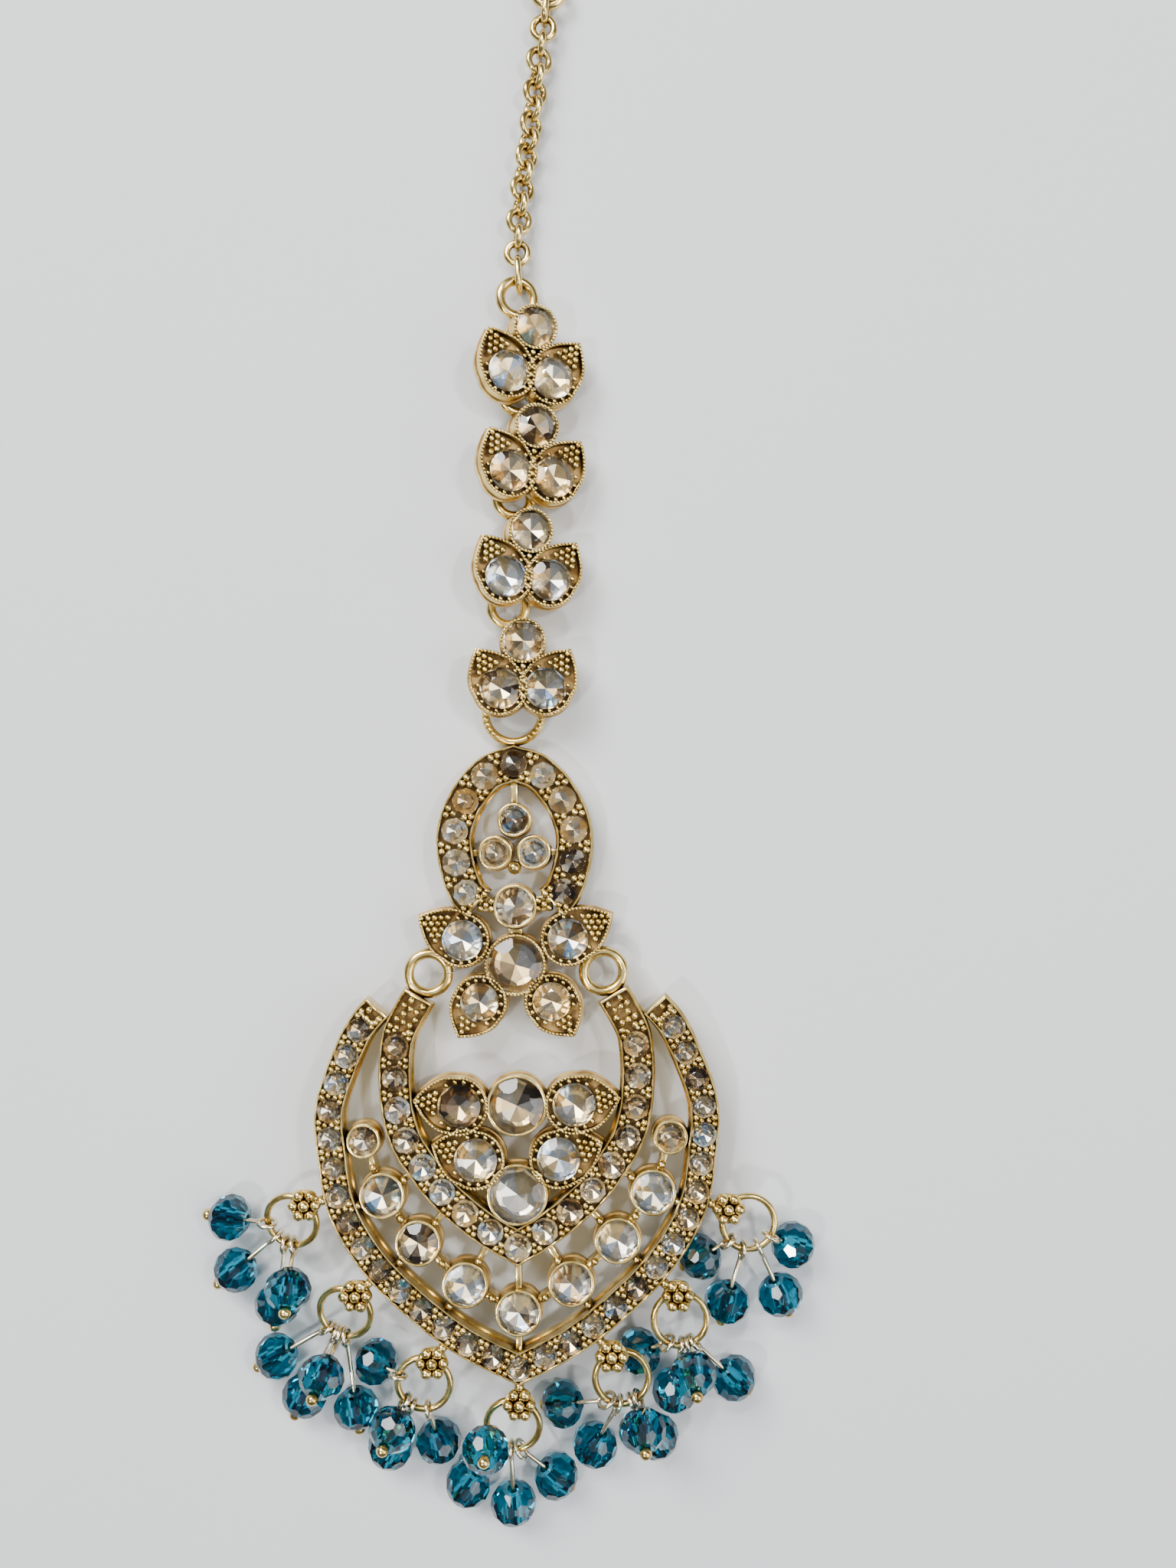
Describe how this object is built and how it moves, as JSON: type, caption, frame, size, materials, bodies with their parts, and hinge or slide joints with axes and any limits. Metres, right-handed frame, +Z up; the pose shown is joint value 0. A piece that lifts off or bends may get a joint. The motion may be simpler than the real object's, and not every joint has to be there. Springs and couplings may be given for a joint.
{
  "type": "maang tikka",
  "caption": "Forehead jewel: hair hook, link chain, cast stone-set links, a teardrop crest with a flower, and a stone-set crescent fringed with glass bead drops.",
  "frame": {"origin": "middle of the jewel's box, on the surface it lies on", "axes": "+Z up from the surface the jewel lies on, +Y along the jewel from the bead fringe to the hair hook, +X to the right seen from above"},
  "size_m": [0.0518, 0.143, 0.0094],
  "materials": {
    "gold": "polished antique gold plating, darker in the recesses, with clear foiled stones set in it",
    "bead_drop": "transparent faceted teal glass on a pale gold wire pin"
  },
  "bodies": {
    "root": {"hair_hook": "gold", "chain": "gold", "leaf_link_1": "gold", "leaf_link_2": "gold", "leaf_link_3": "gold", "leaf_link_4": "gold", "crest_frame": "gold", "side_ring_left": "gold", "side_ring_right": "gold", "crescent_frame": "gold", "drop_ring_1": "gold", "drop_ring_2": "gold", "drop_ring_3": "gold", "drop_ring_4": "gold", "drop_ring_5": "gold", "drop_ring_6": "gold", "drop_ring_7": "gold", "bead_drop_1_1": "bead_drop", "bead_drop_1_2": "bead_drop", "bead_drop_1_3": "bead_drop", "bead_drop_1_4": "bead_drop", "bead_drop_2_1": "bead_drop", "bead_drop_2_2": "bead_drop", "bead_drop_2_3": "bead_drop", "bead_drop_2_4": "bead_drop", "bead_drop_3_1": "bead_drop", "bead_drop_3_2": "bead_drop", "bead_drop_3_3": "bead_drop", "bead_drop_3_4": "bead_drop", "bead_drop_4_1": "bead_drop", "bead_drop_4_2": "bead_drop", "bead_drop_4_3": "bead_drop", "bead_drop_4_4": "bead_drop", "bead_drop_5_1": "bead_drop", "bead_drop_5_2": "bead_drop", "bead_drop_5_3": "bead_drop", "bead_drop_5_4": "bead_drop", "bead_drop_6_1": "bead_drop", "bead_drop_6_2": "bead_drop", "bead_drop_6_3": "bead_drop", "bead_drop_6_4": "bead_drop", "bead_drop_7_1": "bead_drop", "bead_drop_7_2": "bead_drop", "bead_drop_7_3": "bead_drop", "bead_drop_7_4": "bead_drop"}
  },
  "joints": []
}
